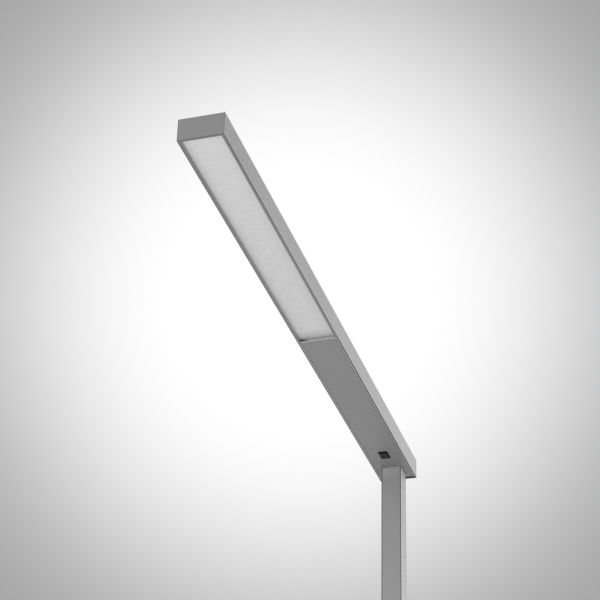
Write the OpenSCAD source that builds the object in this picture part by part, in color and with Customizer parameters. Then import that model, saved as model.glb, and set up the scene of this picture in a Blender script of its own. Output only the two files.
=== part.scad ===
// Office floor lamp: a flat LED head carried at one end by a square post on a heavy base plate.
// Millimetres. +Z is up, and the lit end of the head points along -Y. The origin is on the floor, under
// the centre of the base plate. Left and right are alike, but for the notch in each cover and the hole
// for the button's lead.

/* [Base] */
// Width of the base plate, side to side
base_w = 275; // [220:5:340]
// Length of the base plate, front to rear
base_l = 460; // [400:5:560]
// Thickness of the base plate
base_t = 10; // [8:0.5:16]
// Corner radius of the base plate
base_corner = 10; // [5:1:24]
// Chamfer round the base plate's edges
base_chamfer = 1; // [0.4:0.1:2]
// Thickness of the mat under the base plate
mat_t = 2; // [1:0.5:4]
// How far the mat stays inside the base plate's edge
mat_inset = 6; // [3:1:12]
// From the base plate's rear edge to the post's axis
post_inset = 60; // [45:1:90]

/* [Post] */
// Side of the square post
post_w = 40; // [39:0.5:46]
// Wall of the post
post_wall = 2; // [1.6:0.1:2.6]
// Outer corner radius of the post
post_corner = 0.8; // [0.5:0.1:1.6]
// Height of the cable gland's axis above the base plate
gland_height = 35; // [26:1:90]
// Diameter of the gland's bore, which the mains lead passes through
lead_bore = 7.2; // [6:0.1:8]

/* [Head] */
// Height of the whole lamp, from the floor to the top of the head
lamp_h = 1950; // [1740:1:2040]
// Length of the head, end caps included
head_l = 1205; // [1150:5:1350]
// Width of the head
head_w = 74; // [72:0.5:84]
// Height of the head
head_h = 39.5; // [38:0.5:46]
// Side wall of the head's profile
head_wall = 2.2; // [1.8:0.1:2.8]
// Outer corner radius of the head
head_corner = 0.6; // [0.5:0.1:2]
// Width of the rails along both edges of the head, wall included
rail_w = 4.8; // [4.4:0.1:5.6]
// Height of the lower rails, which is how deep the lower diffuser lies
rail_depth = 6; // [4:0.5:7]
// Height of the upper rails, which is how deep the upper diffuser lies
top_rail = 2; // [1.8:0.1:3]
// Thickness of the profile's middle web
web_t = 2; // [1.6:0.1:2.6]
// Thickness of the front end cap
cap_t = 4; // [3:0.5:6]
// Thickness of the rear end cap, its shadow gap included
rear_cap_t = 7; // [4:0.5:9]
// Width of the shadow gap between the profile and the rear end cap
shadow_gap = 1.5; // [0.8:0.1:2]
// How far the head stands out behind the post
head_overhang = 21; // [17:0.5:28]

/* [Light] */
// Length of the diffusers
light_l = 615; // [560:1:640]
// Thickness of the diffusers
diffuser_t = 2; // [1.5:0.1:2.4]
// Slot between a diffuser's end and the cover beside it
light_slot = 0.5; // [0.3:0.1:2.5]
// Distance between neighbouring LEDs in a row
led_pitch = 15; // [12:0.5:30]
// Distance between the two rows of LEDs
led_row_gap = 28; // [20:1:36]

/* [Covers] */
// Thickness of the two covers over the electronics
cover_t = 1.6; // [1.2:0.1:2]
// How far the covers lie behind the rails' faces
cover_recess = 0.3; // [0.2:0.1:0.6]
// Gap between a cover and the rail beside it
cover_gap = 0.6; // [0.4:0.1:0.8]
// Width of the notch in a cover's end wall, where a blade lifts the cover out
notch_w = 16; // [8:0.5:24]
// Height of the notch at the cover's side
notch_h = 4; // [2:0.5:5]
// Gap round the post in the lower cover
post_gap = 1; // [0.4:0.1:1.5]

/* [Push button] */
// From the head's rear end to the button's centre
button_back = 116; // [108:1:130]
// Width of the button's bezel
bezel_w = 18; // [16.5:0.1:20]
// Length of the button's bezel
bezel_l = 29; // [26:0.5:32]
// How far the bezel stands out of the cover
bezel_proud = 1.4; // [1:0.1:2]
// Width of the frame that shows round the button
bezel_frame = 2.6; // [2.4:0.1:2.8]
// How far the button stands out of its bezel
button_proud = 1.4; // [1.2:0.1:2]
// Travel of the button
button_travel = 1.2; // [0.8:0.1:1.2]

/* [Electronics] */
// Length of the LED driver's case
driver_l = 250; // [220:5:270]
// Width of the LED driver's case
driver_w = 30; // [24:1:32]
// Height of the LED driver's case
driver_h = 14; // [11:0.5:14.5]
// Thickness of the circuit boards
board_t = 1.6; // [1:0.1:2]

/* [Hidden] */
$fn = 48;

silver = [0.62, 0.62, 0.63];
dark_silver = [0.50, 0.50, 0.51];
opal = [0.90, 0.90, 0.89];
black = [0.07, 0.07, 0.07];
zinc = [0.72, 0.73, 0.75];
board_white = [0.93, 0.93, 0.92];
led_yellow = [0.95, 0.85, 0.35];
rubber = [0.12, 0.12, 0.12];

eps = 1;            // overrun of a cut past the face that it opens
slip = 0.05;        // radial clearance of a screw or peg in its hole
fit_gap = 0.3;      // clearance between pieces that are slid or dropped together
hole_gap = 0.2;     // radial clearance of a screw in a drilled hole

// Places along Y and Z
head_clearance = lamp_h - head_h;         // height of the head's underside
base_top = mat_t + base_t;
post_y = base_l / 2 - post_inset;
head_back = post_y + post_w / 2 + head_overhang;
head_front = head_back - head_l;
web_low = head_clearance + (head_h - web_t) / 2;
web_top = web_low + web_t;
cover_inner = cover_recess + cover_t;     // depth of a cover's inner face
post_top = head_clearance + cover_inner;
head_top = head_clearance + head_h;
light_front = head_front + cap_t;
light_back = light_front + light_l;
cover_front = light_back + light_slot;
cover_back = head_back - rear_cap_t - fit_gap;

// Screws: M6 through the joints of base, post and head
m6_r = 2.7;
m6_hole = 3.3;
m6_head = 5;
m6_head_h = 6;
m6_key = 2.9;                             // radius of the hexagon socket's corners
m6_key_depth = 2.5;
m6_grip = 20;                             // thread that a screw has in the post
base_screw_l = base_t + m6_grip;
csk_r = 6;
port_r = m6_r + slip;
port_wall = 1.8;
port_sink = 0.8;                          // how deep a port's boss sinks into the post's walls
port_at = post_w / 2 - post_wall - port_r - port_wall + port_sink;
port_slit = 1.6;
washer_r = 6;
washer_t = 1.6;
m4_r = 1.95;
m4_head = 3.8;
m4_head_h = 2.4;
m3_r = 1.45;
m3_head = 2.8;
m3_head_h = 1.8;
screw_grip = 8;                           // depth of the block's holes for the M4 screws
tip_gap = 1;                              // left under the tips of the M4 screws
tip_back = 0.2;                           // how far the M3 screws' tips stay inside the web

// Head profile
inner_half = head_w / 2 - head_wall;
mouth_half = head_w / 2 - rail_w;
slot_h = diffuser_t + fit_gap;
rib_w = 1.6;
rib_t = 1.2;
peg_r = 1.7;
peg_l = 9;
peg_hole = peg_r + slip;
peg_wall = 1.9;
peg_sink = 0.7;                           // how deep each peg's boss sinks into the side wall
peg_at = inner_half - peg_hole - peg_wall + peg_sink;
boss_gap = 0.6;                           // from a boss to what lies on the web
trough_half = peg_at - peg_hole - peg_wall - boss_gap;

// Covers that snap over the rails
cover_half = mouth_half - cover_gap;
leg_t = 1.2;
hook_grip = 0.8;                          // how far a hook reaches over its rail
hook_out = cover_gap + hook_grip;
hook_t = 1.4;
cover_chamfer = 0.7;
cover_end_t = 1.2;                        // end wall of a cover, towards the diffuser
cover_end_rise = 1;                       // how far that wall reaches past the rails

// Mounting block between the post and the web
block_l = 50;
block_screw_inset = 6;
block_screw_x = trough_half - block_screw_inset;
cable_hole = 6.5;

// Circuit boards and LEDs
board_clear = 0.5;                        // between the boards and the room that they lie in
board_half = trough_half - board_clear;
board_margin = 4;
board_gap = 1;
board_l = (light_l - 2 * board_margin - board_gap) / 2;
board_screw_inset = 24;                   // from a board's ends to its screws
screw_shift = 5;                          // lower boards: to the front, upper boards: to the rear
led_w = 3.5;
led_l = 2.8;
led_h = 0.7;
plug_w = 7;                               // wire connector on a board
plug_l = 8;
plug_h = 4;
bridge_h = 2;                             // connector from one board to the next

// Driver and terminal block, along the upper side of the web
driver_set_back = 70;                     // from the cover's front end to the driver
driver_front = cover_front + driver_set_back;
driver_back = driver_front + driver_l;
tab_l = 12;
tab_t = 1.5;
case_t = 1;                               // depth of the connectors' recess in the case's ends
case_side = 4;                            // from that recess to the case's sides
case_rim = 2;                             // from that recess to the case's foot and lid
terminal_gap = 40;                        // room for the leads between driver and terminals
terminal_front = driver_back + tab_l + terminal_gap;
terminal_l = 20;
terminal_w = 25;
terminal_h = 11;
terminal_pitch = 7.4;                     // from one pole of the terminals to the next
terminal_row = 5.6;                       // from the block's middle to each row of clamps
clamp_r = 1.9;
clamp_depth = 4.5;                        // down to the wire's hole
wire_hole_r = 1.6;
wire_hole_depth = 4;
terminal_seat = terminal_h - 4;           // height of the face under the fixing screw's head
grommet_r = 4;
grommet_bore = 2.6;
grommet_lip = 1.2;                        // thickness of a lip, and how far it reaches out
grommet_out = grommet_r + grommet_lip;
light_grommet_set_back = 22;              // from the cover's front end
light_grommet_y = cover_front + light_grommet_set_back;
control_lead_run = 34;                    // from the button's centre to the hole for its lead
control_grommet_y = head_back - button_back - control_lead_run;
control_grommet_x = driver_w / 2 + grommet_out + 2 * fit_gap;

// Push button, with heights above the head's underside
button_y = head_back - button_back;
bezel_corner = 1.6;
bezel_chamfer = 0.5;
bezel_low = cover_recess - bezel_proud;
sleeve_clear = 0.2;
flange_over = 0.8;                        // how far the bezel covers the edge of its opening
sleeve_w = bezel_w - 2 * (flange_over + sleeve_clear);
sleeve_l = bezel_l - 2 * (flange_over + sleeve_clear);
sleeve_wall = 1;
snap_out = 0.5;
snap_h = 1.5;
snap_l = 8;
opening_w = bezel_w - 2 * bezel_frame;
opening_l = bezel_l - 2 * bezel_frame;
button_clear = 0.2;
button_w = opening_w - 2 * button_clear;
button_l = opening_l - 2 * button_clear;
button_low = bezel_low - button_proud;
button_corner = 1;
button_chamfer = 0.4;
dish_r = 60;                              // hollow for the fingertip
dish_depth = 0.25;
ledge_depth = 0.9;                        // of the bezel's ledge under the cover's inner face
ledge = cover_inner - ledge_depth;        // height of that ledge, where the button rests
flange_t = 1.2;
flange_out = 0.4;
flange_w = opening_w + 2 * flange_out;
button_top = ledge + flange_t;
button_h = button_top - button_low;
plunger_r = 1.5;
plunger_clear = 0.05;
plunger_l = 4;
plunger_sink = 1;                         // depth of the plunger in the button's socket
socket_wall = 0.9;
socket_top = button_top + plunger_sink;
switch_gap = 0.3;                         // left between socket and switch when fully pressed
switch_w = 6;
switch_h = 4;
switch_low = socket_top + button_travel + switch_gap;
switch_bore = plunger_l - plunger_sink - (switch_low - socket_top) + button_travel + switch_gap;
switch_board_low = switch_low + switch_h;
stake_r = 0.6;
stake_head = 0.4;
spring_wire = 0.3;                        // radius of the wire
spring_r = 5;
spring_turns = 4;
spring_sides = 6;
spring_rings = 8;                         // in each turn

// ---------------------------------------------------------------- shapes that repeat

// Rectangle with round corners, centred, drawn flat
module round_rect(w, h, r) {
    square([w - 2 * r, h], center = true);
    square([w, h - 2 * r], center = true);
    for (x = [-1, 1], y = [-1, 1])
        translate([x * (w / 2 - r), y * (h / 2 - r)])
            circle(r);
}

// A flat section in X and Z, drawn out along Y from one place to another
module along_y(from, to) {
    translate([0, to, 0])
        rotate([90, 0, 0])
            linear_extrude(to - from)
                children();
}

// Outline of a slab with four chamfered edges
function slab(w, t, c) = [[-w / 2, c], [-w / 2 + c, 0], [w / 2 - c, 0], [w / 2, c],
                          [w / 2, t - c], [w / 2 - c, t], [-w / 2 + c, t], [-w / 2, t - c]];

// Plate with round corners and chamfered edges, its lower face at Z = 0
module edged_plate(w, l, t, r, c) {
    along_y(-(l / 2 - r), l / 2 - r)
        polygon(slab(w, t, c));
    rotate([0, 0, 90])
        along_y(-(w / 2 - r), w / 2 - r)
            polygon(slab(l, t, c));
    for (x = [-1, 1], y = [-1, 1])
        translate([x * (w / 2 - r), y * (l / 2 - r), 0])
            rotate_extrude()
                polygon([[0, 0], [r - c, 0], [r, c], [r, t - c], [r - c, t], [0, t]]);
}

// Block with its lower face at Z = 0, centred in X and Y
module block(w, l, h) {
    translate([-w / 2, -l / 2, 0])
        cube([w, l, h]);
}

// Countersunk screw, its head's flat face at Z = 0 and its tip upwards
module countersunk_screw(r, head_r, length, key) {
    difference() {
        union() {
            cylinder(h = head_r - r, r1 = head_r, r2 = r);
            cylinder(h = length, r = r);
        }
        translate([0, 0, -eps])
            cylinder(h = eps + m6_key_depth, r = key, $fn = 6);
    }
}

// Screw with a cylindrical head on Z = 0 and its shank downwards
module cap_screw(r, head_r, head_h, length, key) {
    difference() {
        union() {
            cylinder(h = head_h, r = head_r);
            translate([0, 0, -length])
                cylinder(h = length, r = r);
        }
        translate([0, 0, head_h / 2])
            cylinder(h = head_h, r = key, $fn = 6);
    }
}

// The four screw places of the post's corners
module at_ports() {
    for (x = [-1, 1], y = [-1, 1])
        translate([x * port_at, post_y + y * port_at, 0])
            children();
}

// ---------------------------------------------------------------- base

module base_mat() {
    window_margin = 4;
    window = 2 * (port_at + csk_r + window_margin);
    color(rubber)
        difference() {
            linear_extrude(mat_t)
                round_rect(base_w - 2 * mat_inset, base_l - 2 * mat_inset,
                           base_corner - mat_inset / 2);
            translate([0, post_y, -eps])
                linear_extrude(mat_t + 2 * eps)
                    round_rect(window, window, window_margin);
        }
}

module base_plate() {
    csk_hole = csk_r + slip;
    color(silver)
        difference() {
            translate([0, 0, mat_t])
                edged_plate(base_w, base_l, base_t, base_corner, base_chamfer);
            at_ports() {
                cylinder(h = base_top + eps, r = m6_hole);
                translate([0, 0, mat_t - eps])
                    cylinder(h = csk_hole - m6_hole + eps, r1 = csk_hole + eps, r2 = m6_hole);
            }
        }
}

module base_screws() {
    color(zinc)
        at_ports()
            translate([0, 0, mat_t])
                countersunk_screw(m6_r, csk_r, base_screw_l, m6_key);
}

// ---------------------------------------------------------------- post

gland_z = base_top + gland_height;
gland_wall = 2.4;
gland_barrel = lead_bore / 2 + gland_wall;
gland_rim = 3;                            // how far the flange stands out round the barrel
gland_flange = gland_barrel + gland_rim;
gland_flange_t = 3;
gland_nose = 14;
gland_tip = lead_bore / 2 + 1.2;                      // radius of the nose's thin end
gland_inside = 8;
gland_nut_rim = 2.6;                      // from the barrel to the nut's corners
gland_nut_t = 4;

// Square tube with a C-shaped screw port in each corner
module post_section() {
    inner = post_w - 2 * post_wall;
    difference() {
        union() {
            difference() {
                round_rect(post_w, post_w, post_corner);
                square(inner, center = true);
            }
            for (x = [-1, 1], y = [-1, 1])
                translate([x * port_at, y * port_at])
                    circle(port_r + port_wall);
        }
        for (a = [45 : 90 : 315])
            rotate(a)
                translate([port_at * sqrt(2), 0]) {
                    circle(port_r);
                    translate([-port_r - port_wall - eps, -port_slit / 2])
                        square([port_r + port_wall + eps, port_slit]);
                }
    }
}

module post_profile() {
    color(silver)
        difference() {
            translate([0, post_y, base_top])
                linear_extrude(post_top - base_top)
                    post_section();
            translate([0, post_y + post_w / 2 + eps, gland_z])
                rotate([90, 0, 0])
                    cylinder(h = post_wall + 2 * eps, r = gland_barrel + slip);
        }
}

// Strain relief: barrel through the wall, flange outside and a tapered nose
module cable_gland() {
    color(black)
        translate([0, post_y + post_w / 2, gland_z])
            rotate([-90, 0, 0])
                difference() {
                    union() {
                        translate([0, 0, -post_wall - gland_inside])
                            cylinder(h = post_wall + gland_inside, r = gland_barrel);
                        cylinder(h = gland_flange_t, r = gland_flange);
                        translate([0, 0, gland_flange_t])
                            cylinder(h = gland_nose, r1 = gland_barrel, r2 = gland_tip);
                    }
                    translate([0, 0, -post_wall - gland_inside - eps])
                        cylinder(h = post_wall + gland_inside + gland_flange_t + gland_nose + 2 * eps,
                                 r = lead_bore / 2);
                }
}

module gland_nut() {
    color(black)
        translate([0, post_y + post_w / 2 - post_wall, gland_z])
            rotate([90, 0, 0])
                difference() {
                    cylinder(h = gland_nut_t, r = gland_barrel + gland_nut_rim, $fn = 6);
                    translate([0, 0, -eps])
                        cylinder(h = gland_nut_t + 2 * eps, r = gland_barrel + slip);
                }
}

// ---------------------------------------------------------------- head shell

// Half of the room in the profile on one side of the web: mouth, diffuser slot and chamber.
// Z = 0 is the outer face, and the room runs inwards along +Z.
module trough_section(rail) {
    web_face = (head_h - web_t) / 2;
    translate([-mouth_half, -eps])
        square([2 * mouth_half, rail + 2 * eps]);
    translate([-inner_half, rail])
        square([2 * inner_half, slot_h]);
    translate([-inner_half + rib_w, rail + slot_h - eps])
        square([2 * (inner_half - rib_w), rib_t + 2 * eps]);
    translate([-inner_half, rail + slot_h + rib_t])
        square([2 * inner_half, web_face - rail - slot_h - rib_t]);
}

module head_section() {
    difference() {
        union() {
            difference() {
                translate([0, head_h / 2])
                    round_rect(head_w, head_h, head_corner);
                trough_section(rail_depth);
                translate([0, head_h])
                    mirror([0, 1])
                        trough_section(top_rail);
            }
            for (x = [-1, 1])
                translate([x * peg_at, head_h / 2])
                    circle(peg_hole + peg_wall);
        }
        for (x = [-1, 1])
            translate([x * peg_at, head_h / 2])
                circle(peg_hole);
    }
}

// Places along Y of the small screws in the web
function board_screw_y(shift) = [for (b = [0, 1], y = [board_screw_inset, board_l - board_screw_inset])
    light_front + board_margin + b * (board_l + board_gap) + y + shift];
down_screws = board_screw_y(-screw_shift);
up_screws = board_screw_y(screw_shift);
driver_screw_y = [driver_front - tab_l / 2, driver_back + tab_l / 2];
terminal_y = terminal_front + terminal_l / 2;

module head_profile() {
    color(silver)
        difference() {
            translate([0, 0, head_clearance])
                along_y(head_front + cap_t, head_back - rear_cap_t)
                    head_section();
            translate([0, 0, web_low - eps]) {
                at_ports()
                    cylinder(h = web_t + 2 * eps, r = m6_hole);
                translate([0, post_y, 0])
                    cylinder(h = web_t + 2 * eps, r = cable_hole);
                for (x = [-1, 1])
                    translate([x * block_screw_x, post_y, 0])
                        cylinder(h = web_t + 2 * eps, r = m4_r + slip);
                for (y = concat(down_screws, up_screws, driver_screw_y, [terminal_y]))
                    translate([0, y, 0])
                        cylinder(h = web_t + 2 * eps, r = m3_r + slip);
                translate([0, light_grommet_y, 0])
                    cylinder(h = web_t + 2 * eps, r = grommet_r);
                translate([control_grommet_x, control_grommet_y, 0])
                    cylinder(h = web_t + 2 * eps, r = grommet_r);
            }
        }
}

// End cap of thickness t, its outer face at Z = 0 and two pegs for the profile's ports along +Z.
// Where it has a shadow gap, its inner part stays inside the profile's outline.
module end_cap(t, gap) {
    cap_chamfer = 0.3;
    gap_depth = 1.2;
    edged_plate(head_w, head_h, t - gap, head_corner, cap_chamfer);
    translate([0, 0, t / 2])
        block(head_w - 2 * gap_depth, head_h - 2 * gap_depth, t / 2);
    for (x = [-1, 1])
        translate([x * peg_at, 0, t])
            cylinder(h = peg_l, r = peg_r);
}

module front_cap() {
    color(dark_silver)
        translate([0, head_front, head_clearance + head_h / 2])
            rotate([-90, 0, 0])
                end_cap(cap_t, 0);
}

module rear_cap() {
    color(dark_silver)
        translate([0, head_back, head_clearance + head_h / 2])
            rotate([90, 0, 0])
                end_cap(rear_cap_t, shadow_gap);
}

// ---------------------------------------------------------------- joint of post and head

module mounting_block() {
    block_h = web_low - post_top;
    color(zinc)
        difference() {
            translate([0, post_y, post_top])
                block(2 * trough_half, block_l, block_h);
            translate([0, 0, post_top - eps]) {
                at_ports()
                    cylinder(h = block_h + 2 * eps, r = m6_hole);
                translate([0, post_y, 0])
                    cylinder(h = block_h + 2 * eps, r = cable_hole);
            }
            for (x = [-1, 1])
                translate([x * block_screw_x, post_y, web_low - screw_grip])
                    cylinder(h = screw_grip + eps, r = m4_r + slip);
        }
}

module block_screws() {
    color(zinc)
        for (x = [-1, 1])
            translate([x * block_screw_x, post_y, web_top])
                cap_screw(m4_r, m4_head, m4_head_h, web_t + screw_grip - tip_gap, m4_r);
}

module head_washers() {
    color(zinc)
        at_ports()
            translate([0, 0, web_top])
                difference() {
                    cylinder(h = washer_t, r = washer_r);
                    translate([0, 0, -eps])
                        cylinder(h = washer_t + 2 * eps, r = m6_r + hole_gap);
                }
}

module head_screws() {
    head_screw_l = washer_t + web_t + (web_low - post_top) + m6_grip;
    color(zinc)
        at_ports()
            translate([0, 0, web_top + washer_t])
                cap_screw(m6_r, m6_head, m6_head_h, head_screw_l, m6_key);
}

// ---------------------------------------------------------------- covers and diffusers

// Snap cover: a plate with a leg along each side whose hook catches on the rail.
// Z = 0 is the head's outer face, and the legs run inwards along +Z.
module cover_section(rail) {
    leg_top = rail + hook_t;
    translate([-cover_half, cover_recess])
        square([2 * cover_half, cover_t]);
    for (x = [-1, 1])
        scale([x, 1])
            polygon([[cover_half - leg_t, cover_recess], [cover_half, cover_recess],
                     [cover_half, rail], [cover_half + hook_out, rail],
                     [cover_half, leg_top], [cover_half - leg_t, leg_top]]);
}

// Wedge cut out of a cover's end wall at its left side, to lift the cover out with a blade
module notch_section() {
    side = -cover_half - hook_out - eps;
    tip = cover_inner + notch_h;
    polygon([[side, cover_inner], [notch_w - cover_half, cover_inner],
             [-cover_half, tip], [side, tip]]);
}

// A cover along its whole length, with the end wall that faces the diffuser and a chamfer below it
module snap_cover(rail) {
    difference() {
        union() {
            along_y(cover_front, cover_back)
                cover_section(rail);
            translate([-cover_half, cover_front, cover_recess])
                cube([2 * cover_half, cover_end_t, rail + cover_end_rise - cover_recess]);
        }
        translate([0, cover_front, cover_recess])
            rotate([-45, 0, 0])
                translate([-head_w / 2, -head_w / 2, cover_chamfer * sqrt(2) / 2 - head_w])
                    cube([head_w, head_w, head_w]);
        along_y(cover_front - eps, cover_front + cover_end_t)
            notch_section();
    }
}

module underside_cover() {
    color(silver)
        difference() {
            translate([0, 0, head_clearance])
                snap_cover(rail_depth);
            translate([0, post_y, head_clearance - eps])
                linear_extrude(cover_inner + 2 * eps)
                    round_rect(post_w + 2 * post_gap, post_w + 2 * post_gap, post_corner + post_gap);
            translate([0, button_y, head_clearance - eps])
                block(sleeve_w + 2 * sleeve_clear, sleeve_l + 2 * sleeve_clear, cover_inner + 2 * eps);
        }
}

module top_cover() {
    color(silver)
        translate([0, 0, head_top])
            mirror([0, 0, 1])
                snap_cover(top_rail);
}

// Flat strip that slides into the profile's slots, its lower face at z
module diffuser(z) {
    half = inner_half - fit_gap;
    color(opal)
        translate([-half, light_front + fit_gap, z])
            cube([2 * half, light_l - fit_gap, diffuser_t]);
}

module downlight_diffuser() {
    diffuser(head_clearance + rail_depth);
}

module uplight_diffuser() {
    diffuser(head_top - top_rail - slot_h);
}

// ---------------------------------------------------------------- LED boards

// Two boards end to end with their wire connector, lying on Z = 0
module board_pair(screw_places) {
    for (b = [0, 1])
        difference() {
            translate([-board_half, light_front + board_margin + b * (board_l + board_gap), 0])
                cube([2 * board_half, board_l, board_t]);
            for (y = screw_places)
                translate([0, y, -eps])
                    cylinder(h = board_t + 2 * eps, r = m3_r + hole_gap);
        }
    translate([0, light_back - board_margin - plug_l / 2, board_t])
        block(plug_w, plug_l, plug_h);
    translate([0, light_front + board_margin + board_l + board_gap / 2, board_t])
        block(plug_w, plug_l, bridge_h);
}

module led_group() {
    count = floor((board_l - led_pitch) / led_pitch);
    start = light_front + board_margin + (board_l - (count - 1) * led_pitch) / 2;
    for (b = [0, 1], i = [0 : count - 1], x = [-1, 1])
        translate([x * led_row_gap / 2, start + b * (board_l + board_gap) + i * led_pitch, board_t])
            block(led_w, led_l, led_h);
}

module board_screw_group(screw_places) {
    for (y = screw_places)
        translate([0, y, board_t])
            cap_screw(m3_r, m3_head, m3_head_h, board_t + web_t - tip_back, m3_r);
}

// The upper boards lie on the web, and the lower ones hang under it as a mirror image
module on_web() {
    translate([0, 0, web_top])
        children();
}

module under_web() {
    translate([0, 0, web_low])
        mirror([0, 0, 1])
            children();
}

module downlight_boards() {
    color(board_white)
        under_web()
            board_pair(down_screws);
}

module uplight_boards() {
    color(board_white)
        on_web()
            board_pair(up_screws);
}

module downlight_leds() {
    color(led_yellow)
        under_web()
            led_group();
}

module uplight_leds() {
    color(led_yellow)
        on_web()
            led_group();
}

module downlight_board_screws() {
    color(zinc)
        under_web()
            board_screw_group(down_screws);
}

module uplight_board_screws() {
    color(zinc)
        on_web()
            board_screw_group(up_screws);
}

// ---------------------------------------------------------------- driver and terminals

driver_mid = (driver_front + driver_back) / 2;

module led_driver() {
    color(zinc)
        on_web()
            translate([0, driver_mid, 0])
                difference() {
                    union() {
                        block(driver_w, driver_l, driver_h);
                        block(driver_w, driver_l + 2 * tab_l, tab_t);
                    }
                    for (s = [-1, 1])
                        translate([0, s * (driver_l + tab_l) / 2, -eps])
                            cylinder(h = tab_t + 2 * eps, r = m3_r + hole_gap);
                    for (s = [-1, 1])
                        translate([0, s * driver_l / 2, tab_t + case_rim])
                            block(driver_w - 2 * case_side, 2 * case_t, driver_h - tab_t - 2 * case_rim);
                }
}

module driver_screws() {
    color(zinc)
        for (y = driver_screw_y)
            translate([0, y, web_top + tab_t])
                cap_screw(m3_r, m3_head, m3_head_h, tab_t + web_t - tip_back, m3_r);
}

module terminal_block() {
    color(board_white)
        on_web()
            translate([0, terminal_y, 0])
                difference() {
                    block(terminal_w, terminal_l, terminal_h);
                    for (x = [-1, 0, 1], y = [-1, 1])
                        translate([x * terminal_pitch, y * terminal_row, 0]) {
                            translate([0, 0, terminal_h - clamp_depth])
                                cylinder(h = clamp_depth + eps, r = clamp_r);
                            translate([0, y * (terminal_l / 2 - terminal_row), terminal_h / 2])
                                rotate([y * 90, 0, 0])
                                    translate([0, 0, -eps])
                                        cylinder(h = wire_hole_depth + eps, r = wire_hole_r);
                        }
                    translate([0, 0, -eps])
                        cylinder(h = terminal_h + 2 * eps, r = m3_r + hole_gap);
                    translate([0, 0, terminal_seat])
                        cylinder(h = terminal_h - terminal_seat + eps, r = m3_head + hole_gap);
                }
}

module terminal_screw() {
    color(zinc)
        translate([0, terminal_y, web_top + terminal_seat])
            cap_screw(m3_r, m3_head, m3_head_h, terminal_seat + web_t - tip_back, m3_r);
}

// Rubber ring with a lip on each side of the web
module grommet() {
    color(rubber)
        translate([0, 0, web_low])
            difference() {
                union() {
                    cylinder(h = web_t, r = grommet_r);
                    for (z = [-grommet_lip, web_t])
                        translate([0, 0, z])
                            cylinder(h = grommet_lip, r = grommet_out);
                }
                translate([0, 0, -grommet_lip - eps])
                    cylinder(h = web_t + 2 * (grommet_lip + eps), r = grommet_bore);
            }
}

module light_grommet() {
    translate([0, light_grommet_y, 0])
        grommet();
}

module control_grommet() {
    translate([control_grommet_x, control_grommet_y, 0])
        grommet();
}

// ---------------------------------------------------------------- push button

// Everything of the button is drawn about its own axis, with Z = 0 at the head's underside
module at_button() {
    translate([0, button_y, head_clearance])
        children();
}

module button_bezel() {
    color(black)
        at_button()
            difference() {
                union() {
                    translate([0, 0, bezel_low])
                        edged_plate(bezel_w, bezel_l, bezel_proud, bezel_corner, bezel_chamfer);
                    translate([0, 0, bezel_low + bezel_chamfer])
                        block(sleeve_w, sleeve_l, switch_board_low - bezel_low - bezel_chamfer);
                    for (x = [-1, 1])
                        scale([x, 1, 1])
                            along_y(-snap_l / 2, snap_l / 2)
                                snap_section();
                    for (y = [-1, 1])
                        translate([0, y * (opening_l + sleeve_l) / 4, ledge])
                            cylinder(h = switch_board_low + board_t + stake_head - ledge, r = stake_r);
                }
                translate([0, 0, bezel_low - eps])
                    block(opening_w, opening_l, switch_board_low - bezel_low + 2 * eps);
                translate([0, 0, ledge])
                    block(sleeve_w - 2 * sleeve_wall, opening_l, switch_board_low - ledge + eps);
            }
}

// Snap hook of the bezel, which catches behind the cover
module snap_section() {
    side = sleeve_w / 2;
    root = side - sleeve_wall / 2;
    top = cover_inner + snap_h;
    polygon([[root, cover_inner], [side + snap_out, cover_inner], [side, top], [root, top]]);
}

// Button with a flange on its long sides, a hollow for the fingertip and a socket for the plunger
module dimmer_button() {
    color(black)
        at_button()
            difference() {
                union() {
                    translate([0, 0, button_low])
                        edged_plate(button_w, button_l, button_h, button_corner, button_chamfer);
                    translate([0, 0, ledge])
                        block(flange_w, button_l - 2 * button_corner, flange_t);
                    translate([0, 0, button_top - flange_t / 2])
                        cylinder(h = flange_t / 2 + plunger_sink, r = plunger_r + slip + socket_wall);
                }
                translate([0, 0, button_low + dish_depth - dish_r])
                    sphere(r = dish_r, $fn = 180);
                translate([0, 0, button_top])
                    cylinder(h = plunger_sink + eps, r = plunger_r + slip);
            }
}

module switch_plunger() {
    color(board_white)
        at_button()
            translate([0, 0, button_top])
                cylinder(h = plunger_l, r = plunger_r);
}

module switch_body() {
    color(black)
        at_button()
            difference() {
                translate([0, 0, switch_low])
                    block(switch_w, switch_w, switch_h);
                translate([0, 0, switch_low - eps])
                    cylinder(h = switch_bore + eps, r = plunger_r + plunger_clear);
            }
}

// Circuit board on the bezel's sleeve, with the lead's connector on its upper face
module switch_board() {
    color(board_white)
        at_button()
            difference() {
                union() {
                    translate([0, 0, switch_board_low])
                        block(sleeve_w, sleeve_l, board_t);
                    translate([0, -plug_l, switch_board_low + board_t])
                        block(plug_w, plug_l, plug_h);
                }
                for (y = [-1, 1])
                    translate([0, y * (opening_l + sleeve_l) / 4, switch_board_low - eps])
                        cylinder(h = board_t + 2 * eps, r = stake_r + slip);
            }
}

// Coil spring between the button and the switch board, made as one wound tube
spring_low = button_top + spring_wire;
spring_pitch = (switch_board_low - button_top - 2 * spring_wire) / spring_turns;
function spring_point(t) =
    [spring_r * cos(360 * t), spring_r * sin(360 * t), spring_low + spring_pitch * t];
spring_line = [for (i = [0 : spring_turns * spring_rings]) spring_point(i / spring_rings)];
spring_gaps = [for (i = [0 : len(spring_line) - 1], j = [0 : len(spring_line) - 1])
    if (j - i > spring_rings / 2) norm(spring_line[j] - spring_line[i]) - 2 * spring_wire];
echo(least_gap_between_turns = min(spring_gaps));

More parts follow.
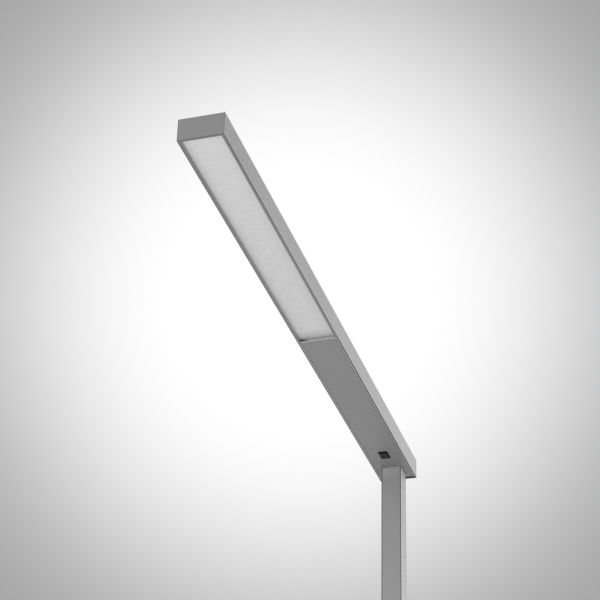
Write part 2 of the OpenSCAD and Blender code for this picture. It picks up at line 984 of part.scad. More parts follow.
// Ring of points round the wire: outwards from the spring's axis, then across the wire
function wire_ring(i) =
    let (a = 360 * i / spring_rings, out = [cos(a), sin(a), 0],
         rise = spring_pitch / (2 * PI * spring_r),
         across = cross(out, [-sin(a), cos(a), rise]) / norm([1, rise]))
    [for (s = [0 : spring_sides - 1])
        let (turn = 360 * s / spring_sides)
        spring_line[i] + spring_wire * (cos(turn) * out + sin(turn) * across)];

module button_spring() {
    last = len(spring_line) - 1;
    n = spring_sides;
    points = [for (i = [0 : last]) each wire_ring(i)];
    skin = [for (i = [0 : last - 1], s = [0 : n - 1])
        [i * n + s, i * n + (s + 1) % n, (i + 1) * n + (s + 1) % n, (i + 1) * n + s]];
    start_face = [[for (s = [n - 1 : -1 : 0]) s]];
    end_face = [[for (s = [0 : n - 1]) last * n + s]];
    color(zinc)
        at_button()
            polyhedron(points, concat(start_face, skin, end_face));
}

base_mat();
base_plate();
base_screws();
post_profile();
cable_gland();
gland_nut();
head_profile();
front_cap();
rear_cap();
mounting_block();
block_screws();
head_screws();
head_washers();
underside_cover();
top_cover();
downlight_diffuser();
uplight_diffuser();
downlight_boards();
uplight_boards();
downlight_leds();
uplight_leds();
downlight_board_screws();
uplight_board_screws();
led_driver();
driver_screws();
terminal_block();
terminal_screw();
light_grommet();
control_grommet();
button_bezel();
dimmer_button();
button_spring();
switch_body();
switch_plunger();
switch_board();
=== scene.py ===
import math

import bpy
from mathutils import Euler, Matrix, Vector


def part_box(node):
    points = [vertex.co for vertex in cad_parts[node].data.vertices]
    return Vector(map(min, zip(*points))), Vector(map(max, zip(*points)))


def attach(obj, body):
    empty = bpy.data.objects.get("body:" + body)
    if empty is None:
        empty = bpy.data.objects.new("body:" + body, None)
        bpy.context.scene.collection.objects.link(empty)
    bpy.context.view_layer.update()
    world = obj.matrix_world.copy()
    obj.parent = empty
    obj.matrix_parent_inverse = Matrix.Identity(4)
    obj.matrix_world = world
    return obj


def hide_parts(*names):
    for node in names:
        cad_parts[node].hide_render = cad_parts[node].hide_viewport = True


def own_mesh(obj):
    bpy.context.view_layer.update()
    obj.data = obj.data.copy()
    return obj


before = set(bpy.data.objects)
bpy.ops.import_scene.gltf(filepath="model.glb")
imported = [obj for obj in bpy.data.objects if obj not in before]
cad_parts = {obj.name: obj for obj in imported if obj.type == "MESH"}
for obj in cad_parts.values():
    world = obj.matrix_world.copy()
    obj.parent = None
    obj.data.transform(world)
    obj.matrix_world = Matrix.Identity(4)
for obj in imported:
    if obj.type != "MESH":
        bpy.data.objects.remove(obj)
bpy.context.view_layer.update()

# ---------------------------------------------------------------- where things are

MM = 0.001

CAP_LOW, CAP_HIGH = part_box("front_cap")
HEAD_LOW, HEAD_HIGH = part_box("head_profile")
POST_LOW, POST_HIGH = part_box("post_profile")
LIGHT_LOW, LIGHT_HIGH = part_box("downlight_diffuser")
COVER_LOW, COVER_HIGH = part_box("underside_cover")
REAR_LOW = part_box("rear_cap")[0]

# Sizes of the solids that the finishes follow
RAIL_WIDTH = 4.8 * MM       # of the rails beside the diffusers and covers
HOOK_REACH = 1.4 * MM       # of a cover's hooks, beyond its sides
END_WALL = 1.2 * MM         # of a cover, towards the diffuser
PEG_LENGTH = 9.0 * MM       # of an end cap's pegs, in front of its plate
SHADOW_GAP = 1.5 * MM       # between the profile and the rear cap

# Return spring behind the push button
SPRING_WIRE = 0.3 * MM      # radius of its wire
SPRING_TURNS = 4
SPRING_RINGS = 24           # of points in each turn
SPRING_SIDES = 10           # of the wire

# Camera of the photograph, measured from the middle of the free end's lower edge
CAMERA_FROM_FREE_END = Vector((0.7895, -1.9980, -1.5574))
CAMERA_TURN = Euler([math.radians(a) for a in (120.945, -1.381, 16.648)])
CAMERA_LENS = 107.9
CAMERA_SENSOR = 36.0
CAMERA_REACH = 100.0        # farthest that it sees

# Backdrop: white in the middle of the view, grey towards the corners, by the angle from the view's axis
BACKDROP_WHITE = 1.0
BACKDROP_GREY = 0.39
BACKDROP_SIDE = 0.72
FALLOFF_START = math.radians(3.8)
FALLOFF_END = math.radians(13.7)
SIDE_START = math.radians(18.0)
SIDE_END = math.radians(45.0)

# The studio is brightest behind the lamp, to the right and a little above it
BRIGHT_SIDE = Vector((0.50, 0.80, 0.30)).normalized()
BRIGHT_SPREAD = 0.75        # cosine of the angle from it at which the light has changed fully

# Floor, which turns into the backdrop far from the lamp
FLOOR_REACH = 14.0
FLOOR_SIDES = 96
FLOOR_FADE_START = 3.5
FLOOR_FADE_END = 10.0
FLOOR_FAR = 0.66


# ---------------------------------------------------------------- shader arithmetic


class Value:
    """One output of a shader node. Arithmetic on it adds Math nodes."""

    def __init__(self, shader, socket):
        self.shader = shader
        self.socket = socket

    def math(self, operation, *others):
        """A Math node with this value as its first input."""
        sockets = dict(zip("abc", (self, *others)))
        return self.shader.node("ShaderNodeMath", {"operation": operation}, **sockets)

    def __add__(self, other):
        return self.math("ADD", other)

    __radd__ = __add__

    def __mul__(self, other):
        return self.math("MULTIPLY", other)

    __rmul__ = __mul__

    def __sub__(self, other):
        return self.math("SUBTRACT", other)

    def __rsub__(self, other):
        return self.math("MULTIPLY_ADD", -1.0, other)

    def __abs__(self):
        return self.math("ABSOLUTE")

    def rise(self, start, end):
        """0 up to start, 1 from end on, and smooth between them."""
        settings = {"interpolation_type": "SMOOTHSTEP"}
        sockets = {"Value": self, "From Min": start, "From Max": end}
        return self.shader.node("ShaderNodeMapRange", settings, **sockets)

    def fall(self, start, end):
        """1 up to start, 0 from end on, and smooth between them."""
        return 1.0 - self.rise(start, end)


class Shader:
    """The nodes of one material or of the world."""

    def __init__(self, owner):
        owner.use_nodes = True
        self.tree = owner.node_tree

    def socket(self, node, name):
        """An input by its name, or a, b and c for the first three."""
        if name in ("a", "b", "c"):
            return node.inputs["abc".index(name)]
        usable = [s for s in node.inputs if s.name == name and s.enabled]
        return usable[0]

    def fill(self, node, sockets):
        """Sets or links the inputs of a node by name."""
        for name, value in sockets.items():
            target = self.socket(node, name)
            if isinstance(value, Value):
                self.tree.links.new(value.socket, target)
            else:
                target.default_value = value

    def node(self, kind, settings=None, output=None, **sockets):
        """Any node: its settings first, then the values or links of its sockets. Returns one output."""
        made = self.tree.nodes.new(kind)
        for name, value in (settings or {}).items():
            setattr(made, name, value)
        self.fill(made, sockets)
        shown = [s for s in made.outputs if s.enabled]
        return Value(self, made.outputs[output] if output else shown[0])

    def dot(self, a, b):
        """Cosine of the angle between two directions."""
        return self.node("ShaderNodeVectorMath", {"operation": "DOT_PRODUCT"}, "Value", a=a, b=b)

    def axis(self, name):
        """How far the point lies along X, Y or Z, in metres."""
        point = self.node("ShaderNodeTexCoord", output="Object")
        return self.node("ShaderNodeSeparateXYZ", output=name, Vector=point)

    def place(self, per_mm):
        """The point on the object in millimetres, times one number or one for each axis."""
        scale = per_mm if isinstance(per_mm, tuple) else (per_mm, per_mm, per_mm)
        point = self.node("ShaderNodeTexCoord", output="Object")
        factor = tuple(s / MM for s in scale)
        return self.node("ShaderNodeVectorMath", {"operation": "MULTIPLY"}, a=point, b=factor)

    def noise(self, per_mm, detail=2.0, roughness=0.5):
        """Cloudy pattern from 0 to 1, with per_mm patches in a millimetre, in all or along X, Y and Z."""
        sockets = {"Scale": 1.0, "Detail": detail, "Roughness": roughness}
        return self.node("ShaderNodeTexNoise", Vector=self.place(per_mm), **sockets)

    def cells(self, per_mm):
        """Distance from the middle of each cell in a pattern, with per_mm cells in a millimetre."""
        return self.node("ShaderNodeTexVoronoi", Vector=self.place(per_mm), Scale=1.0)

    def mix(self, factor, low, high):
        """Colour that goes from low to high."""
        settings = {"data_type": "RGBA", "clamp_factor": True}
        return self.node("ShaderNodeMix", settings, "Result", Factor=factor, A=low, B=high)


class Finish(Shader):
    """A material with one glossy surface."""

    def __init__(self, name, **sockets):
        self.material = bpy.data.materials.new(name)
        super().__init__(self.material)
        self.surface = self.tree.nodes["Principled BSDF"]
        self.set(**sockets)

    def set(self, **sockets):
        """Sets sockets of the surface, with underscores for the blanks in their names."""
        self.fill(self.surface, {name.replace("_", " "): value for name, value in sockets.items()})

    def bump(self, height, distance):
        """Relief of the given height in metres."""
        self.set(Normal=self.node("ShaderNodeBump", Height=height, Distance=distance))


def grey(level, warmth=0.0):
    """Nearly neutral colour of the given linear level."""
    return (level * (1.0 + warmth), level, level * (1.0 - warmth), 1.0)


BLACK = grey(0.0)
JOINT_SHADE = grey(0.02)    # in the joints between the rails and the covers
REAR_SHADE = grey(0.03)     # in and around the rear cap's gap, where little light gets in
WALL_HIGHLIGHT = grey(0.80)      # painted highlight on a cover's end wall, along the underside
WALL_LIGHT = grey(0.56)      # painted light on the rest of that wall


# ---------------------------------------------------------------- painted light and shade, and dark joints, on the coats

# A pair tells where a band starts to change and where the change is over
SKIN = (0.1 * MM, 0.4 * MM)                     # under a face, so that a band stays on that face
CAP_SKIN = (0.1 * MM, 0.5 * MM)                 # the same on the front cap

FREE_END = (0.0, 280 * MM)                      # of the painted shade at the head's free end
REAR_PART = (-20 * MM, 20 * MM)                 # about the diffuser's end, where the painted light and shade on the rails get stronger
BRIGHT_PART = (-150 * MM, 30 * MM)              # about the diffuser's end, where the sides get painted light
RIM_LINE = (0.15 * MM, 0.5 * MM)                # from the underside, of the painted shade line on the head's edges
OUTER_LINE = (1.4 * MM, 2.4 * MM)               # from the side, of the same painted line
INNER_LINE = (RAIL_WIDTH - 1.5 * MM, RAIL_WIDTH - 1.0 * MM)     # from the side, of the painted shade line beside the diffusers
INNER_LINE_END = (0.0, 1.0 * MM)                # where that painted line ends, behind the diffuser's end
RAIL_JOINT = (RAIL_WIDTH - 0.5 * MM, RAIL_WIDTH - 0.2 * MM)     # from the side, beside the covers
GAP_FRONT = (-3.8 * MM, -2.8 * MM)              # of the painted shade in front of the rear cap's gap

POST_LINE = 2.6 * MM                            # width of the painted shade and highlight lines beside the post's corners
POST_REAR_LINE = 6.0 * MM                       # width of the painted shade line on its sides, towards the rear
POST_HALVES = 1.0 * MM                          # between the front and rear halves of its sides
POST_TOP = (-34 * MM, 4 * MM)                   # about the head's underside, of the painted light on the post's top

COVER_SHADE = (-170 * MM, 10 * MM)              # in front of the post, of the painted shade on the covers
COVER_SIDE = (-0.2 * MM, -0.1 * MM)             # from a cover's side
WALL_BAND = (END_WALL - 0.3 * MM, END_WALL)     # behind the front of a cover's end wall, of its painted light
WALL_DEPTH = (0.5 * MM, 0.8 * MM)               # over a cover's underside, from the painted highlight at the wall's edge to its face
NECK_BAND = 0.2 * MM                            # over which the painted shade on the rear cap's neck gives way to its plate
CAP_LINE = 1.6 * MM                             # width of the painted shade line along the front cap's edges
LINE_CORE = 0.6                                 # part of a line's width that has its full strength

LIGHT_END = (-14 * MM, 34 * MM)                 # from the covers, of the painted shade on the diffusers
LIGHT_SIDE = (-6 * MM, 17 * MM)                 # from the -X rail, of the painted shade on the diffusers

# How far each band of painted light and shade, and each dark joint, takes the coat towards its own colour,
# from 0 to 1
FREE_END_DARK = 0.06
RAIL_LIGHT = 0.08
RAIL_LIGHT_REAR = 0.14      # added beside the covers
SIDE_LIGHT = 0.06
OUTER_DARK = 0.70
OUTER_DARK_REAR = 0.30      # added beside the covers
INNER_DARK = 0.55
GAP_DARK = 0.85
JOINT_DARK = 0.40
CORNER_LIGHT = 0.90         # painted highlight on the post's sides, beside its front corners
REAR_CORNER_DARK = 0.70     # painted shade on the post's sides, beside its rear corners
COVER_DARK = 0.08
REAR_CAP_DARK = 0.90        # painted shade on the rear cap's underside
CAP_LINE_DARK = 0.50        # painted shade along the front cap's edges
CAP_DARK = 0.50             # painted shade on the front cap's underside

# Grain of the faces towards the sides: how far it goes from the coat's level, up and down
HEAD_GRAIN = 0.20
POST_GRAIN = 0.10
POST_SIDE_LEVEL = 0.94      # of the post's sides against its other faces, as painted shade


def depth_under(finish, low, high, axis):
    """How deep the point lies under the nearer of the two faces of a box that are square to the axis."""
    i = "XYZ".index(axis)
    middle = (low[i] + high[i]) / 2
    return (high[i] - low[i]) / 2 - abs(finish.axis(axis) - middle)


def on_faces(finish, low, high, axis):
    """1 on the two faces of a box that are square to the axis, and 0 under them."""
    return depth_under(finish, low, high, axis).fall(*SKIN)


def on_underside(finish, low, skin=SKIN):
    """1 on the underside of a box, and 0 over it."""
    return (finish.axis("Z") - low[2]).fall(*skin)


def edge_line(finish, low, high, face, across, width):
    """1 in a narrow band along the edges of the faces square to one axis, towards their sides across."""
    near_edge = depth_under(finish, low, high, across).fall(LINE_CORE * width, width)
    return on_faces(finish, low, high, face) * near_edge


def behind_light(finish):
    """How far the point lies behind the line where the diffusers end and the covers start."""
    return finish.axis("Y") - COVER_LOW[1]


def gap_shade(finish, low):
    """1 on the underside close in front of the rear cap's shadow gap, where little light gets in."""
    return on_underside(finish, low) * (finish.axis("Y") - HEAD_HIGH[1]).rise(*GAP_FRONT)


# ---------------------------------------------------------------- finishes


def coated_profile(name, level, along):
    """Satin silver coat with fine lines along the profile and grain. Returns the finish and its colour."""
    finish = Finish(name, Metallic=0.6)
    stretched = {"Y": (6.0, 0.012, 6.0), "Z": (6.0, 6.0, 0.012)}[along]
    lines = finish.noise(stretched, detail=3.0)
    grain = finish.noise(5.0, detail=2.0, roughness=0.7)
    clouds = finish.noise(0.012, detail=3.0)
    finish.set(Roughness=0.40 + grain * 0.10 + clouds * 0.06)
    finish.bump(lines * 0.4 + grain * 0.6, 0.02 * MM)
    tone = grain * 0.5 + lines * 0.3 + clouds * 0.2
    return finish, finish.mix(tone, grey(level * 0.90), grey(level * 1.10))


def mottled_sides(finish, low, high, colour, level, spread):
    """The colour with the coarser grain of the faces towards the sides."""
    mottle = finish.noise(0.36, detail=3.0, roughness=0.8).rise(0.25, 0.75)
    mottled = finish.mix(mottle, grey(level * (1.0 - spread)), grey(level * (1.0 + spread)))
    return finish.mix(on_faces(finish, low, high, "X"), colour, mottled)


def head_finish(name, level):
    """Coat of the head's profile, with painted light on its rails and sides, painted shade at its free end,
    along the edges of its rails and in front of the rear cap's gap, and dark joints with the covers.
    """
    finish, colour = coated_profile(name, level, "Y")
    colour = mottled_sides(finish, HEAD_LOW, HEAD_HIGH, colour, level, HEAD_GRAIN)
    # painted shade towards the head's free end
    free_end = (finish.axis("Y") - HEAD_LOW[1]).fall(*FREE_END)
    colour = finish.mix(free_end * FREE_END_DARK, colour, BLACK)

    behind = behind_light(finish)
    rear = behind.rise(*REAR_PART)
    from_side = depth_under(finish, HEAD_LOW, HEAD_HIGH, "X")
    from_face = depth_under(finish, HEAD_LOW, HEAD_HIGH, "Z")
    on_rail = from_face.fall(*SKIN)
    on_side = from_side.fall(*SKIN)
    # painted light on the rails, stronger beside the covers, and on the sides behind the lit part
    lit = on_rail * (RAIL_LIGHT + rear * RAIL_LIGHT_REAR)
    lit = lit + on_side * behind.rise(*BRIGHT_PART) * SIDE_LIGHT
    colour = finish.mix(lit, colour, grey(level * 2.0))

    # painted shade: dark lines along the rails' outer edges and beside the diffusers
    outer = from_face.fall(*RIM_LINE) * from_side.fall(*OUTER_LINE)
    inner = on_rail * from_side.rise(*INNER_LINE) * behind.fall(*INNER_LINE_END)
    line = outer * (OUTER_DARK + rear * OUTER_DARK_REAR) + inner * INNER_DARK
    colour = finish.mix(line, colour, grey(level * 0.15))
    colour = finish.mix(gap_shade(finish, HEAD_LOW) * GAP_DARK, colour, REAR_SHADE)

    joint = from_side.rise(*RAIL_JOINT) * behind.rise(0.0, HEAD_HIGH[1] - COVER_LOW[1])
    finish.set(Base_Color=finish.mix(joint * JOINT_DARK, colour, JOINT_SHADE))
    return finish.material


def post_finish(name, level):
    """Coat of the post, with painted shade in lines beside its corners and painted light close under the
    head.

    Its sides are a little darker, as painted shade, with painted highlights towards the front and painted
    shade towards the rear.
    """
    finish, colour = coated_profile(name, level, "Z")
    colour = mottled_sides(finish, POST_LOW, POST_HIGH, colour, level * POST_SIDE_LEVEL, POST_GRAIN)
    # painted light on the post's front and rear close under the head
    top = (finish.axis("Z") - HEAD_LOW[2]).rise(*POST_TOP) * on_faces(finish, POST_LOW, POST_HIGH, "Y")
    colour = finish.mix(top, colour, grey(level * 1.5))

    middle = (POST_LOW[1] + POST_HIGH[1]) / 2
    to_rear = finish.axis("Y").rise(middle, middle + POST_HALVES)
    # painted highlights on the sides beside the front corners, painted shade beside the rear corners
    bright = edge_line(finish, POST_LOW, POST_HIGH, "X", "Y", POST_LINE) * (1.0 - to_rear)
    dark = edge_line(finish, POST_LOW, POST_HIGH, "X", "Y", POST_REAR_LINE) * to_rear
    colour = finish.mix(bright * CORNER_LIGHT, colour, grey(level * 1.6))
    colour = finish.mix(dark * REAR_CORNER_DARK, colour, grey(level * 0.5))

    # painted shade in lines beside the corners on the front and rear
    line = edge_line(finish, POST_LOW, POST_HIGH, "Y", "X", POST_LINE)
    finish.set(Base_Color=finish.mix(line, colour, grey(level * 0.36)))
    return finish.material


def cover_finish(name, level):
    """Coat of the covers, with painted shade towards the post and in front of the rear cap's gap, painted
    light on the end wall, and dark sides in the joints.
    """
    finish, colour = coated_profile(name, level, "Y")
    # painted shade towards the post
    near_post = (finish.axis("Y") - POST_LOW[1]).rise(*COVER_SHADE)
    colour = finish.mix(near_post * COVER_DARK, colour, BLACK)

    behind = behind_light(finish)
    # painted light on the end wall, with a painted highlight along its lower edge
    wall = behind.fall(*WALL_BAND)
    deep = (finish.axis("Z") - COVER_LOW[2]).rise(*WALL_DEPTH)
    colour = finish.mix(wall, colour, finish.mix(deep, WALL_HIGHLIGHT, WALL_LIGHT))
    colour = finish.mix(gap_shade(finish, COVER_LOW) * GAP_DARK, colour, REAR_SHADE)

    half = COVER_HIGH[0] - HOOK_REACH
    side = (abs(finish.axis("X")) - half).rise(*COVER_SIDE)
    side = side * behind.rise(0.0, COVER_HIGH[1] - COVER_LOW[1])
    finish.set(Base_Color=finish.mix(side * JOINT_DARK, colour, JOINT_SHADE))
    finish.set(Metallic=0.6 - wall * 0.5)
    return finish.material


def rear_cap_finish(name, level):
    """Coat of the rear cap, with painted shade in its shadow gap and on its underside."""
    finish, colour = coated_profile(name, level, "Z")
    # painted shade on the underside
    colour = finish.mix(on_underside(finish, REAR_LOW) * REAR_CAP_DARK, colour, REAR_SHADE)
    # painted shade on the neck inside the shadow gap
    gap_end = REAR_LOW[1] + PEG_LENGTH + SHADOW_GAP
    neck = finish.axis("Y").fall(gap_end - NECK_BAND, gap_end)
    finish.set(Base_Color=finish.mix(neck, colour, REAR_SHADE))
    return finish.material


def coated_plate(name, level):
    """Coat of a plate, with small round bumps and faint clouds. Returns the finish and its colour."""
    finish = Finish(name, Metallic=0.7)
    peel = finish.noise(1.6, detail=3.0, roughness=0.6)
    clouds = finish.noise(0.01, detail=4.0)
    scuffs = finish.noise((0.02, 0.6, 0.3), detail=4.0).rise(0.66, 0.80)
    tone = peel * 0.6 + clouds * 0.4
    finish.set(Roughness=0.46 + peel * 0.08 - scuffs * 0.06)
    finish.bump(peel, 0.05 * MM)
    return finish, finish.mix(tone, grey(level * 0.92), grey(level * 1.08))


def plate_finish(name, level):
    """Coat of the base plate."""
    finish, colour = coated_plate(name, level)
    finish.set(Base_Color=colour)
    return finish.material


def cap_finish(name, level):
    """Coat of the front cap, with painted shade along the edges of its face and on its underside."""
    finish, colour = coated_plate(name, level)
    # painted shade along the face's edges and on the underside
    line = edge_line(finish, CAP_LOW, CAP_HIGH, "Y", "X", CAP_LINE)
    line = line + edge_line(finish, CAP_LOW, CAP_HIGH, "Y", "Z", CAP_LINE)
    dark = line * CAP_LINE_DARK + on_underside(finish, CAP_LOW, CAP_SKIN) * CAP_DARK
    finish.set(Base_Color=finish.mix(dark, colour, grey(level * 0.40)))
    return finish.material


def frosted_diffuser(name, level, glow):
    """Frosted sheet with small moulded prisms, a soft painted glow that is brighter towards the free end,
    and painted shade towards the covers and the -X rail.
    """
    finish = Finish(name, Metallic=0.0, Emission_Strength=1.0)
    prisms = finish.cells(0.42)
    mottle = finish.noise(0.16, detail=4.0, roughness=0.65)
    clouds = finish.noise(0.02, detail=2.0)
    to_cover = LIGHT_HIGH[1] - finish.axis("Y")
    spread = to_cover * (1.0 / (LIGHT_HIGH[1] - LIGHT_LOW[1]))
    end = to_cover.rise(*LIGHT_END)
    inside = (finish.axis("X") - LIGHT_LOW[0]).rise(*LIGHT_SIDE)

    spots = 0.41 + mottle * 1.00 + clouds * 0.22 - prisms * 0.06
    # painted glow, brighter towards the free end, with painted shade towards the covers and the -X rail
    light = spots * (0.58 + spread * 0.42) * (0.30 + end * 0.70) * (0.84 + inside * 0.16)
    finish.set(Emission_Color=finish.mix(light, BLACK, grey(glow)))

    tone = mottle * 0.7 + prisms * 0.3
    colour = finish.mix(tone, grey(level * 0.92), grey(level * 1.02))
    # painted shade in the sheet's colour too, beside the -X rail and towards the covers
    colour = finish.mix(inside, grey(level * 0.84), colour)
    finish.set(Base_Color=finish.mix(end, grey(level * 0.72), colour))
    finish.set(Roughness=0.42 + mottle * 0.1)
    finish.bump(prisms, 0.10 * MM)
    return finish.material


def moulded_plastic(name, level, roughness, specular=0.5):
    """Moulded plastic with a fine spark-eroded grain and faint rubbed patches."""
    finish = Finish(name, Metallic=0.0, Specular_IOR_Level=specular)
    grain = finish.noise(3.2, detail=3.0, roughness=0.7)
    patches = finish.noise(0.08, detail=3.0)
    tone = grain * 0.5 + patches * 0.5
    finish.set(Base_Color=finish.mix(tone, grey(level * 0.85), grey(level * 1.2)))
    finish.set(Roughness=roughness + grain * 0.12 - patches * 0.06)
    finish.bump(grain, 0.03 * MM)
    return finish.material


def plated_metal(name, level, roughness=0.30):
    """Zinc-plated or milled metal: short directional scratches and faint clouds."""
    finish = Finish(name, Metallic=0.95)
    scratches = finish.noise((4.0, 0.25, 1.5), detail=3.0)
    clouds = finish.noise(0.25, detail=3.0)
    tone = scratches * 0.4 + clouds * 0.6
    finish.set(Base_Color=finish.mix(tone, grey(level * 0.85, 0.01), grey(level, 0.02)))
    finish.set(Roughness=roughness + scratches * 0.12)
    finish.bump(scratches, 0.01 * MM)
    return finish.material


def moulded_rubber(name, level):
    """Matt rubber with a fine pimpled face and a little dust."""
    finish = Finish(name, Metallic=0.0, Specular_IOR_Level=0.3)
    pimples = finish.cells(0.55)
    dust = finish.noise(0.06, detail=5.0, roughness=0.7).rise(0.45, 0.8)
    finish.set(Base_Color=finish.mix(dust * 0.7, grey(level), grey(level * 2.2)))
    finish.set(Roughness=0.78 + dust * 0.12)
    finish.bump(pimples, 0.15 * MM)
    return finish.material


def circuit_board(name):
    """White solder mask with a faint weave and slightly darker copper areas under it."""
    finish = Finish(name, Metallic=0.0)
    weave = finish.noise(1.8, detail=1.0)
    copper = finish.noise((0.05, 0.02, 0.05), detail=0.0).rise(0.48, 0.52)
    tone = copper * 0.7 + weave * 0.3
    finish.set(Base_Color=finish.mix(tone, grey(0.72), grey(0.84)))
    finish.set(Roughness=0.38 + weave * 0.1)
    finish.bump(copper + weave * 0.2, 0.03 * MM)
    return finish.material


def phosphor(name):
    """Yellow phosphor in a small moulded frame."""
    finish = Finish(name, Metallic=0.0)
    grain = finish.noise(2.5, detail=2.0)
    finish.set(Base_Color=finish.mix(grain, (0.85, 0.62, 0.10, 1.0), (0.95, 0.80, 0.30, 1.0)))
    finish.set(Roughness=0.3 + grain * 0.2)
    finish.bump(grain, 0.02 * MM)
    return finish.material


# ---------------------------------------------------------------- every piece gets its finish

# the silver coats' levels, 0.41 to 0.48, differ from part to part as painted light and shade on what is
# most likely one coat
head_coat = head_finish("head_coat", 0.44)
post_coat = post_finish("post_coat", 0.46)
cover_coat = cover_finish("cover_coat", 0.41)
rear_cap_coat = rear_cap_finish("rear_cap_coat", 0.44)
cap_coat = cap_finish("cap_coat", 0.48)
plate_coat = plate_finish("plate_coat", 0.45)
diffuser_sheet = frosted_diffuser("diffuser_sheet", 0.80, glow=0.17)
button_plastic = moulded_plastic("button_plastic", 0.016, roughness=0.5, specular=0.4)
bezel_plastic = moulded_plastic("bezel_plastic", 0.004, roughness=0.6, specular=0.12)
gland_plastic = moulded_plastic("gland_plastic", 0.014, roughness=0.45)
white_plastic = moulded_plastic("white_plastic", 0.70, roughness=0.40)
case_plastic = moulded_plastic("case_plastic", 0.62, roughness=0.45)
zinc = plated_metal("zinc", 0.60)
milled_alloy = plated_metal("milled_alloy", 0.68, roughness=0.38)
rubber = moulded_rubber("rubber", 0.022)
board = circuit_board("board")
led = phosphor("led")

FINISH_OF = {
    head_coat: ["head_profile"],
    post_coat: ["post_profile"],
    cover_coat: ["underside_cover", "top_cover"],
    cap_coat: ["front_cap"],
    rear_cap_coat: ["rear_cap"],
    plate_coat: ["base_plate"],
    diffuser_sheet: ["downlight_diffuser", "uplight_diffuser"],
    button_plastic: ["dimmer_button"],
    bezel_plastic: ["button_bezel", "switch_body"],
    gland_plastic: ["cable_gland", "gland_nut"],
    white_plastic: ["terminal_block", "switch_plunger"],
    case_plastic: ["led_driver"],
    zinc: ["base_screws", "block_screws", "head_screws", "head_washers", "downlight_board_screws",
           "uplight_board_screws", "driver_screws", "terminal_screw", "button_spring"],
    milled_alloy: ["mounting_block"],
    rubber: ["base_mat", "light_grommet", "control_grommet"],
    board: ["downlight_boards", "uplight_boards", "switch_board"],
    led: ["downlight_leds", "uplight_leds"],
}
for material, nodes in FINISH_OF.items():
    for node in nodes:
        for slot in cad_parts[node].material_slots:
            slot.material = material


# ---------------------------------------------------------------- spring behind the push button


def spring_points(low, high):
    """Rings of points round the wound wire of a spring that fills the box, from its lower end up."""
    middle = (low + high) / 2
    radius = (high[0] - low[0]) / 2 - SPRING_WIRE
    rise = (high[2] - low[2] - 2 * SPRING_WIRE) / SPRING_TURNS
    points = []
    for i in range(SPRING_TURNS * SPRING_RINGS + 1):
        turn = 2 * math.pi * i / SPRING_RINGS
        out = Vector((math.cos(turn), math.sin(turn), 0.0))
        run = Vector((-math.sin(turn), math.cos(turn), rise / (2 * math.pi * radius)))
        across = out.cross(run).normalized()
        height = low[2] + SPRING_WIRE + rise * i / SPRING_RINGS
        centre = Vector((middle[0], middle[1], height)) + radius * out
        for side in range(SPRING_SIDES):
            around = 2 * math.pi * side / SPRING_SIDES
            points.append(centre + SPRING_WIRE * (math.cos(around) * out + math.sin(around) * across))
    return points


def make_return_spring(material):
    """The button's return spring, a wound wire in place of the plain part."""
    low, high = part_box("button_spring")
    points = spring_points(low, high)
    sides = SPRING_SIDES
    skin = []
    for ring in range(0, len(points) - sides, sides):
        for side in range(sides):
            after = (side + 1) % sides
            skin.append((ring + side, ring + sides + side, ring + sides + after, ring + after))
    ends = [tuple(range(sides)), tuple(reversed(range(len(points) - sides, len(points))))]
    mesh = bpy.data.meshes.new("return_spring")
    mesh.from_pydata(points, [], skin + ends)
    mesh.polygons.foreach_set("use_smooth", [True] * len(skin) + [False] * len(ends))
    mesh.materials.append(material)
    spring = bpy.data.objects.new("return_spring", mesh)
    bpy.context.scene.collection.objects.link(spring)
    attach(spring, "lamp")
    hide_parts("button_spring")
    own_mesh(spring)


make_return_spring(zinc)


# ---------------------------------------------------------------- floor, backdrop and light


def make_floor():
    """Round pale floor under the lamp, which turns into the backdrop far from it."""
    mesh = bpy.data.meshes.new("floor")
    turns = [2 * math.pi * i / FLOOR_SIDES for i in range(FLOOR_SIDES)]
    ring = [(FLOOR_REACH * math.cos(turn), FLOOR_REACH * math.sin(turn), 0.0) for turn in turns]
    mesh.from_pydata(ring, [], [list(range(FLOOR_SIDES))])
    floor = bpy.data.objects.new("floor", mesh)
    bpy.context.scene.collection.objects.link(floor)
    finish = Finish("floor_paint", Metallic=0.0, Specular_IOR_Level=0.2, Emission_Strength=1.0)
    clouds = finish.noise(0.002, detail=3.0)
    across, along = finish.axis("X"), finish.axis("Y")
    from_lamp = (across * across + along * along).math("SQRT")
    far = from_lamp.rise(FLOOR_FADE_START, FLOOR_FADE_END)
    colour = finish.mix(clouds, grey(0.76), grey(0.80))
    finish.set(Base_Color=finish.mix(far, colour, BLACK), Roughness=0.8 + clouds * 0.05)
    finish.set(Emission_Color=finish.mix(far, BLACK, grey(FLOOR_FAR)))
    mesh.materials.append(finish.material)


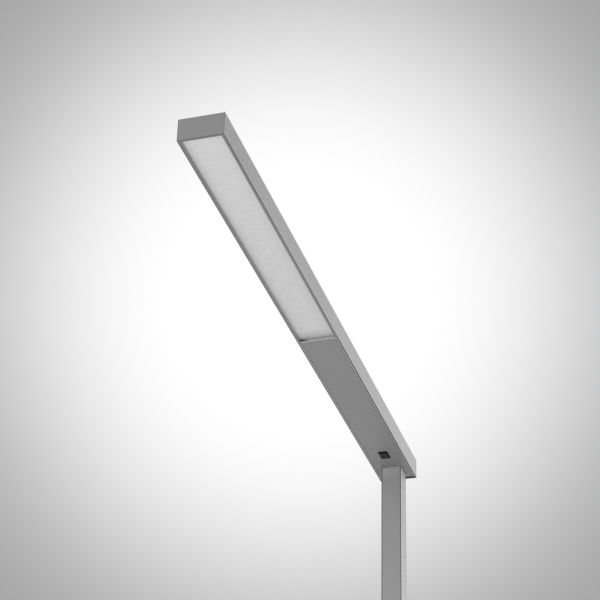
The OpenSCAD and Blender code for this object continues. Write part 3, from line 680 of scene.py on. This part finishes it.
def make_camera():
    """The photograph's camera."""
    data = bpy.data.cameras.new("camera")
    data.lens = CAMERA_LENS
    data.sensor_width = CAMERA_SENSOR
    data.clip_end = CAMERA_REACH
    camera = bpy.data.objects.new("camera", data)
    bpy.context.scene.collection.objects.link(camera)
    free_end = Vector((0.0, CAP_LOW[1], CAP_LOW[2]))
    camera.location = free_end + CAMERA_FROM_FREE_END
    camera.rotation_euler = CAMERA_TURN
    bpy.context.scene.camera = camera


def make_world(front, back):
    """Soft light from all round, weaker from the camera's side than from behind, and the backdrop."""
    world = bpy.data.worlds.new("studio")
    bpy.context.scene.world = world
    sky = Shader(world)
    direction = sky.node("ShaderNodeTexCoord", output="Generated")
    view_axis = CAMERA_TURN.to_matrix() @ Vector((0.0, 0.0, -1.0))
    angle = sky.dot(direction, view_axis).math("ARCCOSINE")
    level = BACKDROP_WHITE - (BACKDROP_WHITE - BACKDROP_GREY) * angle.rise(FALLOFF_START, FALLOFF_END)
    level = level + (BACKDROP_SIDE - BACKDROP_GREY) * angle.rise(SIDE_START, SIDE_END)
    towards = sky.dot(direction, BRIGHT_SIDE)
    light = front + (back - front) * towards.rise(-BRIGHT_SPREAD, BRIGHT_SPREAD)
    seen = sky.node("ShaderNodeLightPath", output="Is Camera Ray")
    total = level * seen + light * (1.0 - seen)
    sky.fill(sky.tree.nodes["Background"], {"Color": grey(1.0), "Strength": total})


def make_lamp(name, place, aim, size, power):
    """Large soft panel light that faces the point aim."""
    data = bpy.data.lights.new(name, "AREA")
    data.shape = "RECTANGLE"
    data.size, data.size_y = size
    data.energy = power
    lamp = bpy.data.objects.new(name, data)
    bpy.context.scene.collection.objects.link(lamp)
    lamp.location = place
    lamp.rotation_euler = (Vector(aim) - Vector(place)).to_track_quat("-Z", "Y").to_euler()


make_floor()
make_camera()
make_world(front=0.39, back=0.78)
make_lamp("side_light", place=(1.5, 1.3, 1.7), aim=(0.03, 0.1, 1.9), size=(0.8, 1.2), power=14.0)
make_lamp("front_light", place=(-1.3, -1.5, 1.95), aim=(0.0, 0.15, 1.4), size=(1.0, 1.0), power=8.0)

bpy.context.scene.view_settings.view_transform = "Standard"
